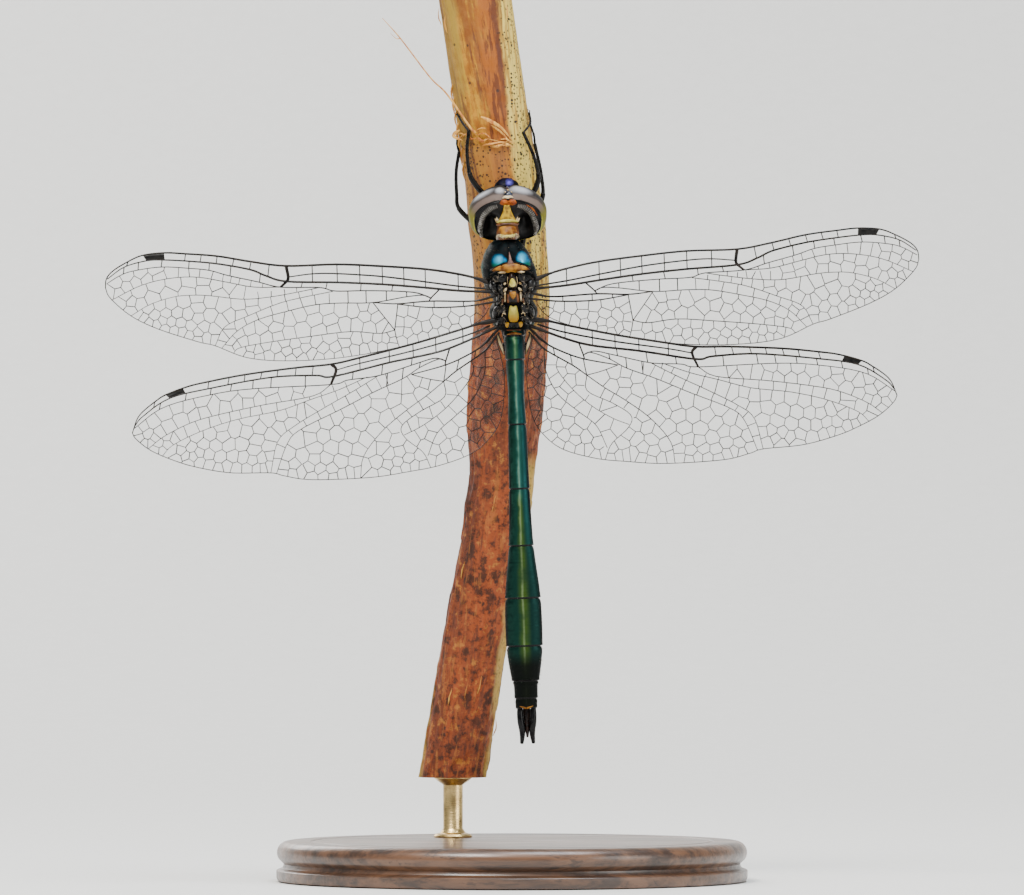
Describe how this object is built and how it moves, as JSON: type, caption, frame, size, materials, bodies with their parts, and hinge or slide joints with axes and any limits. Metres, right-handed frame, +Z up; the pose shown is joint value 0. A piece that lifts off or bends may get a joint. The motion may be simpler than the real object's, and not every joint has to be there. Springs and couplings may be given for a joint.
{
  "type": "dragonfly",
  "caption": "Life-size male emerald dragonfly with clear spread wings, clinging head-up to a cut length of dry stem on a small round stand.",
  "frame": {"origin": "centre of the stand base's underside", "axes": "+Z up, towards the animal's head; -Y the side its back faces; +X to the animal's right"},
  "size_m": [0.0722, 0.042, 0.0806],
  "materials": {
    "black_chitin": "glossy black chitin, finely ribbed, with a grey bloom",
    "eye": "grey-brown compound eye with a green rim, smooth and glossy",
    "frons": "violet-blue metallic chitin",
    "face": "bronze-brown chitin",
    "soft_ochre": "ochre-yellow soft chitin, short-haired",
    "thorax_metal": "dark metallic chitin with turquoise and yellow marks",
    "abdomen_green": "metallic green chitin",
    "wing": "clear membrane with black veins",
    "dry_stem": "weathered dry stem, fibrous and speckled",
    "stand_wood": "dark turned wood, satin",
    "stand_metal": "brushed brass"
  },
  "bodies": {
    "root": {"abdomen_s01": "abdomen_green", "abdomen_s02": "abdomen_green", "abdomen_s03": "abdomen_green", "abdomen_s04": "abdomen_green", "abdomen_s05": "abdomen_green", "abdomen_s06": "abdomen_green", "abdomen_s07": "abdomen_green", "abdomen_s08": "black_chitin", "abdomen_s09": "black_chitin", "abdomen_s10": "black_chitin", "antenna_l": "black_chitin", "antenna_r": "black_chitin", "cercus_l": "black_chitin", "cercus_r": "black_chitin", "epiproct": "black_chitin", "eye_l": "eye", "eye_r": "eye", "head_capsule": "black_chitin", "head_clypeus": "face", "head_frons": "frons", "head_labium": "face", "head_labrum": "black_chitin", "leg_front_l_femur": "black_chitin", "leg_front_l_tarsus": "black_chitin", "leg_front_l_tibia": "black_chitin", "leg_front_r_femur": "black_chitin", "leg_front_r_tarsus": "black_chitin", "leg_front_r_tibia": "black_chitin", "leg_hind_l_femur": "black_chitin", "leg_hind_l_tarsus": "black_chitin", "leg_hind_l_tibia": "black_chitin", "leg_hind_r_femur": "black_chitin", "leg_hind_r_tarsus": "black_chitin", "leg_hind_r_tibia": "black_chitin", "leg_middle_l_femur": "black_chitin", "leg_middle_l_tarsus": "black_chitin", "leg_middle_l_tibia": "black_chitin", "leg_middle_r_femur": "black_chitin", "leg_middle_r_tarsus": "black_chitin", "leg_middle_r_tibia": "black_chitin", "neck": "soft_ochre", "perch_stem": "dry_stem", "prothorax": "soft_ochre", "stand_base": "stand_wood", "stand_rod": "stand_metal", "thorax": "thorax_metal", "wing_fore_l": "wing", "wing_fore_r": "wing", "wing_hind_l": "wing", "wing_hind_r": "wing"}
  },
  "joints": []
}
